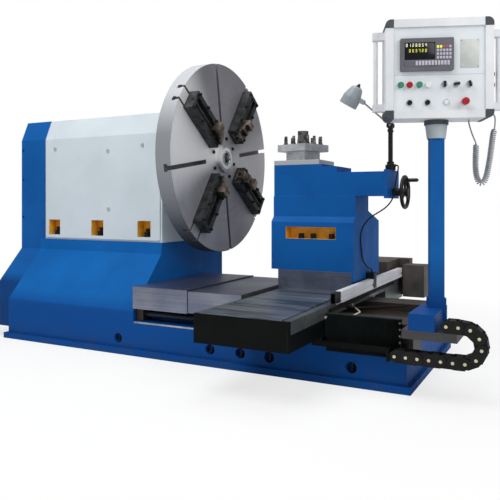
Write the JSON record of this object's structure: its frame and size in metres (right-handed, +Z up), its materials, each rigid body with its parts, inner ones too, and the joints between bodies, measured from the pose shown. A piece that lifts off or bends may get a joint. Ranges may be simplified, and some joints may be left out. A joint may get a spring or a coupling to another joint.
{
  "type": "turning lathe",
  "caption": "Floor type facing lathe with a slotted four jaw faceplate, saddle and cross slide, tool rest with a square tool post, and a swivelling control panel.",
  "frame": {"origin": "on the floor, below the centre of the faceplate's front face", "axes": "+X along the spindle towards the tool, +Y to the back of the machine, +Z up"},
  "size_m": [3.6532, 2.375, 2.048],
  "materials": {
    "blue_paint": "gloss machine enamel",
    "white_paint": "satin machine enamel",
    "machined_steel": "turned and ground",
    "blackened_steel": "blackened, oiled",
    "black_rubber": "moulded",
    "aluminium": "anodised",
    "panel_sheet": "powder coat",
    "lamp_shell": "gloss",
    "grey_cord": "moulded",
    "red_plastic": "moulded",
    "green_plastic": "moulded",
    "white_plastic": "moulded"
  },
  "bodies": {
    "base": {"base": "blue_paint", "bed": "machined_steel", "headstock": "white_paint", "front_panel": "white_paint", "end_cover": "blue_paint", "spindle_bearings": "machined_steel", "main_motor": "blackened_steel", "drive_belts": "black_rubber", "hold_down_bolts": "blackened_steel", "way_cover_fixed": "machined_steel", "feed_bellows": "black_rubber", "panel_bracket": "machined_steel", "panel_column": "blue_paint", "drag_chain": "black_rubber"},
    "spindle": {"spindle": "machined_steel", "faceplate": "machined_steel", "jaw_guides": "blackened_steel", "spindle_pulley": "blackened_steel"},
    "motor_pulley": {"motor_pulley": "blackened_steel"},
    "jaw_1": {"jaw_1": "blackened_steel"},
    "jaw_2": {"jaw_2": "blackened_steel"},
    "jaw_3": {"jaw_3": "blackened_steel"},
    "jaw_4": {"jaw_4": "blackened_steel"},
    "saddle": {"saddle": "machined_steel", "saddle_front_cover": "black_rubber", "way_cover_moving": "machined_steel", "linear_scale": "aluminium", "cross_drive_cover": "machined_steel", "cross_way_cover": "machined_steel"},
    "feed_screw": {"feed_screw": "machined_steel"},
    "cross_screw": {"cross_screw": "machined_steel"},
    "cross_slide": {"cross_slide": "machined_steel", "tool_rest": "blue_paint", "top_slide_base": "blue_paint", "scale_head": "blackened_steel", "lamp_base": "black_rubber", "lamp_cord": "black_rubber"},
    "top_slide": {"top_slide": "blue_paint"},
    "tool_post": {"tool_post": "blackened_steel", "tool_clamp_bolts": "blackened_steel"},
    "handwheel": {"handwheel": "black_rubber"},
    "handwheel_grip": {"handwheel_grip": "black_rubber"},
    "lamp_lower_arm": {"lamp_lower_arm": "black_rubber"},
    "lamp_upper_arm": {"lamp_upper_arm": "machined_steel"},
    "lamp_head": {"lamp_head": "lamp_shell"},
    "panel": {"panel_frame": "aluminium", "panel_face": "panel_sheet", "panel_handles": "aluminium", "readout": "black_rubber", "panel_collar": "black_rubber", "pendant_cord_coil": "grey_cord", "pendant_cord_leads": "grey_cord"},
    "emergency_stop": {"emergency_stop": "red_plastic"},
    "push_button_1": {"push_button_1": "green_plastic"},
    "push_button_2": {"push_button_2": "red_plastic"},
    "push_button_3": {"push_button_3": "green_plastic"},
    "push_button_4": {"push_button_4": "white_plastic"},
    "selector_1": {"selector_1": "black_rubber"},
    "selector_2": {"selector_2": "black_rubber"},
    "selector_3": {"selector_3": "black_rubber"}
  },
  "joints": [
    {"name": "spindle_spin", "type": "hinge", "parent": "base", "child": "spindle", "pos_m": [0, 0, 1.348], "axis": [1, 0, 0], "continuous": true},
    {"name": "motor_pulley_spin", "type": "hinge", "parent": "base", "child": "motor_pulley", "pos_m": [0, 0, 0.47], "axis": [1, 0, 0], "continuous": true},
    {"name": "jaw_1_slide", "type": "slide", "parent": "spindle", "child": "jaw_1", "axis": [0, 0.5906, 0.807], "range_m": [-0.03, 0.2]},
    {"name": "jaw_2_slide", "type": "slide", "parent": "spindle", "child": "jaw_2", "axis": [0, -0.807, 0.5906], "range_m": [-0.03, 0.2]},
    {"name": "jaw_3_slide", "type": "slide", "parent": "spindle", "child": "jaw_3", "axis": [0, -0.5906, -0.807], "range_m": [-0.03, 0.2]},
    {"name": "jaw_4_slide", "type": "slide", "parent": "spindle", "child": "jaw_4", "axis": [0, 0.807, -0.5906], "range_m": [-0.03, 0.2]},
    {"name": "saddle_slide", "type": "slide", "parent": "base", "child": "saddle", "axis": [1, 0, 0], "range_m": [-0.2, 0.1], "deforming": ["feed_bellows", "drag_chain"]},
    {"name": "feed_screw_spin", "type": "hinge", "parent": "base", "child": "feed_screw", "pos_m": [0, -0.665, 0.2675], "axis": [1, 0, 0], "continuous": true},
    {"name": "cross_slide", "type": "slide", "parent": "saddle", "child": "cross_slide", "axis": [0, 1, 0], "range_m": [-0.65, 0.2], "deforming": ["cross_way_cover"]},
    {"name": "cross_screw_spin", "type": "hinge", "parent": "saddle", "child": "cross_screw", "pos_m": [0.826, 0, 0.4064], "axis": [0, 1, 0], "continuous": true},
    {"name": "handwheel_spin", "type": "hinge", "parent": "cross_slide", "child": "handwheel", "pos_m": [0, -0.0455, 1.082], "axis": [1, 0, 0], "range_deg": [-3600, 5400]},
    {"name": "top_slide", "type": "slide", "parent": "cross_slide", "child": "top_slide", "axis": [1, 0, 0], "range_m": [-0.1, 0.15]},
    {"name": "grip_spin", "type": "hinge", "parent": "handwheel", "child": "handwheel_grip", "pos_m": [0, -0.00915, 1.15994], "axis": [1, 0, 0], "continuous": true},
    {"name": "tool_post_index", "type": "hinge", "parent": "top_slide", "child": "tool_post", "pos_m": [0.664, -0.0455, 1.3], "axis": [0, 0, 1], "continuous": true},
    {"name": "lamp_swivel", "type": "hinge", "parent": "cross_slide", "child": "lamp_lower_arm", "pos_m": [1.277, -0.0455, 1.25], "axis": [0, 0, 1], "range_deg": [-120, 120]},
    {"name": "lamp_elbow", "type": "hinge", "parent": "lamp_lower_arm", "child": "lamp_upper_arm", "pos_m": [1.277, -0.0455, 1.5154], "axis": [0, 1, 0], "range_deg": [-40, 40]},
    {"name": "lamp_tilt", "type": "hinge", "parent": "lamp_upper_arm", "child": "lamp_head", "pos_m": [1.09121, -0.0455, 1.68268], "axis": [0, 1, 0], "range_deg": [-25, 25]},
    {"name": "panel_swivel", "type": "hinge", "parent": "base", "child": "panel", "pos_m": [1.669, -0.59, 1.45], "axis": [0, 0, 1], "range_deg": [-60, 60]},
    {"name": "emergency_stop_press", "type": "slide", "parent": "panel", "child": "emergency_stop", "axis": [-0.3584, 0.9336, 0], "range_m": [0, 0.005], "stiffness_N_per_m": 900},
    {"name": "push_button_1_press", "type": "slide", "parent": "panel", "child": "push_button_1", "axis": [-0.3584, 0.9336, 0], "range_m": [0, 0.005], "stiffness_N_per_m": 600},
    {"name": "push_button_2_press", "type": "slide", "parent": "panel", "child": "push_button_2", "axis": [-0.3584, 0.9336, 0], "range_m": [0, 0.005], "stiffness_N_per_m": 600},
    {"name": "push_button_3_press", "type": "slide", "parent": "panel", "child": "push_button_3", "axis": [-0.3584, 0.9336, 0], "range_m": [0, 0.005], "stiffness_N_per_m": 600},
    {"name": "push_button_4_press", "type": "slide", "parent": "panel", "child": "push_button_4", "axis": [-0.3584, 0.9336, 0], "range_m": [0, 0.005], "stiffness_N_per_m": 600},
    {"name": "selector_1_turn", "type": "hinge", "parent": "panel", "child": "selector_1", "pos_m": [1.72631, -0.67512, 1.635], "axis": [-0.3584, 0.9336, 0], "range_deg": [-45, 45]},
    {"name": "selector_2_turn", "type": "hinge", "parent": "panel", "child": "selector_2", "pos_m": [1.78326, -0.65326, 1.635], "axis": [-0.3584, 0.9336, 0], "range_deg": [-45, 45]},
    {"name": "selector_3_turn", "type": "hinge", "parent": "panel", "child": "selector_3", "pos_m": [1.84581, -0.62924, 1.635], "axis": [-0.3584, 0.9336, 0], "range_deg": [-45, 45]}
  ],
  "couplings": [
    {"joint": "motor_pulley_spin", "follows": "spindle_spin", "ratio": 2},
    {"joint": "feed_screw_spin", "follows": "saddle_slide", "rad_per_m": 523.6},
    {"joint": "cross_screw_spin", "follows": "cross_slide", "rad_per_m": 523.6},
    {"joint": "handwheel_spin", "follows": "top_slide", "rad_per_m": 628.32}
  ]
}
